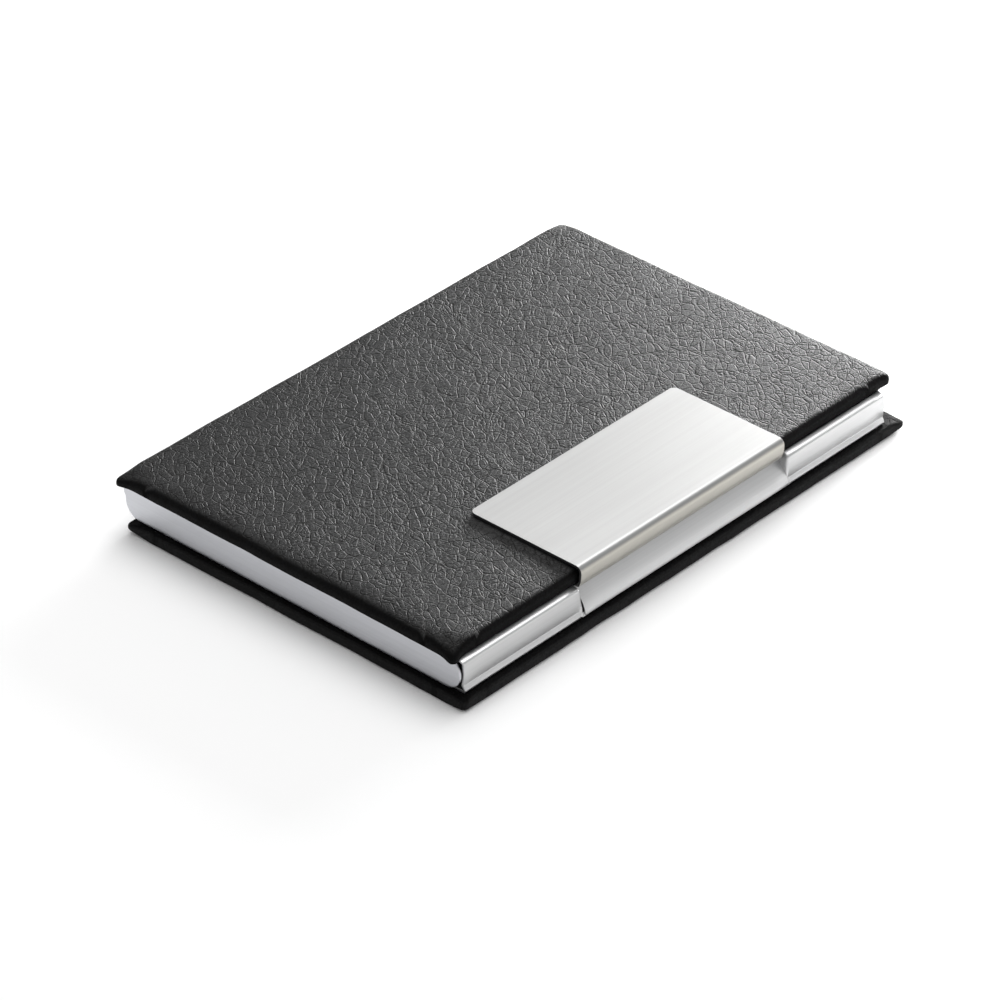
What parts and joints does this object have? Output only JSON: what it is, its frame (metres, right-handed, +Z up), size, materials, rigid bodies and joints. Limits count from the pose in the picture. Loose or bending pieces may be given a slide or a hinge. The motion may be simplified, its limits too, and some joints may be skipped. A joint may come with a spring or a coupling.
{
  "type": "business card case",
  "caption": "Slim pocket case for business cards: steel box between leather-covered boards, hinged lid with a folded nameplate, finger tongue in the front wall.",
  "frame": {"origin": "middle of the underside of the base cover", "axes": "+X along the front edge to the right as seen from the front, +Y from the front edge to the hinge, +Z up"},
  "size_m": [0.0956, 0.0666, 0.01],
  "materials": {
    "black_leather": "pebbled grain, satin",
    "grey_board": "matte",
    "foam": "matte non-woven padding",
    "adhesive": "matte",
    "polished_steel": "bright rolled finish",
    "brushed_plate": "fine brushing along the length",
    "magnet": "nickel plated"
  },
  "bodies": {
    "base": {"base_leather": "black_leather", "base_board": "grey_board", "base_bond_sheet": "adhesive", "base_shell": "polished_steel", "hinge_pin": "polished_steel", "card_rail_left": "polished_steel", "card_rail_right": "polished_steel", "magnet_left": "magnet", "magnet_right": "magnet", "magnet_clip_left": "polished_steel", "magnet_clip_right": "polished_steel"},
    "lid": {"lid_leather": "black_leather", "lid_foam": "foam", "lid_board": "grey_board", "lid_bond_sheet": "adhesive", "lid_shell": "polished_steel", "nameplate": "brushed_plate", "nameplate_tape": "adhesive"}
  },
  "joints": [
    {"name": "lid_hinge", "type": "hinge", "parent": "base", "child": "lid", "pos_m": [-0.00085, 0.03302, 0.00582], "axis": [-1, 0, 0], "range_deg": [0, 155]}
  ]
}
